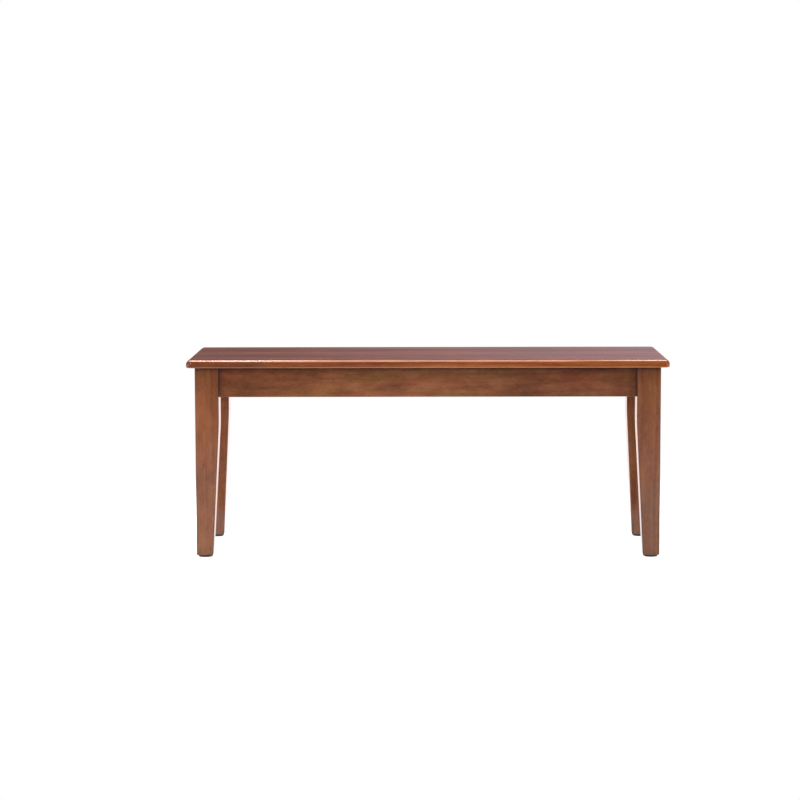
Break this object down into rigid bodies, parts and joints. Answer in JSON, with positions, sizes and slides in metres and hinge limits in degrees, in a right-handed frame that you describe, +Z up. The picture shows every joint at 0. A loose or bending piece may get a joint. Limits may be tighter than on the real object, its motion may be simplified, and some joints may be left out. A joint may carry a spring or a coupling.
{
  "type": "bench",
  "caption": "Plain wooden bench with a flat seat of glued boards, a shallow apron and square legs tapered on their inside faces.",
  "frame": {"origin": "on the floor, under the middle of the seat", "axes": "+X along the bench to the right of someone who faces its front, +Y from front to back, +Z up"},
  "size_m": [1.104, 0.362, 0.458],
  "materials": {
    "seat_wood": "warm reddish brown stain under satin lacquer",
    "apron_wood": "warm reddish brown stain under satin lacquer",
    "leg_wood": "warm reddish brown stain under satin lacquer",
    "inner_wood": "unstained sawn hardwood, sealed",
    "bolt_steel": "zinc plated steel",
    "screw_steel": "yellow zinc plated steel",
    "clip_steel": "zinc plated pressed steel",
    "glide_plastic": "dark brown moulded plastic"
  },
  "bodies": {
    "root": {"seat_board_1": "seat_wood", "seat_board_2": "seat_wood", "seat_board_3": "seat_wood", "seat_board_4": "seat_wood", "seat_board_5": "seat_wood", "apron_front": "apron_wood", "apron_rear": "apron_wood", "apron_left": "apron_wood", "apron_right": "apron_wood", "centre_brace": "inner_wood", "brace_screws": "screw_steel", "leg_front_left": "leg_wood", "corner_block_front_left": "inner_wood", "glide_front_left": "glide_plastic", "leg_front_right": "leg_wood", "corner_block_front_right": "inner_wood", "glide_front_right": "glide_plastic", "leg_rear_left": "leg_wood", "corner_block_rear_left": "inner_wood", "glide_rear_left": "glide_plastic", "leg_rear_right": "leg_wood", "corner_block_rear_right": "inner_wood", "glide_rear_right": "glide_plastic", "hanger_bolts": "bolt_steel", "flat_washers": "bolt_steel", "spring_washers": "bolt_steel", "hex_nuts": "bolt_steel", "block_screws": "screw_steel", "clip_screws": "screw_steel", "glide_nails": "screw_steel", "seat_clips": "clip_steel"}
  },
  "joints": []
}
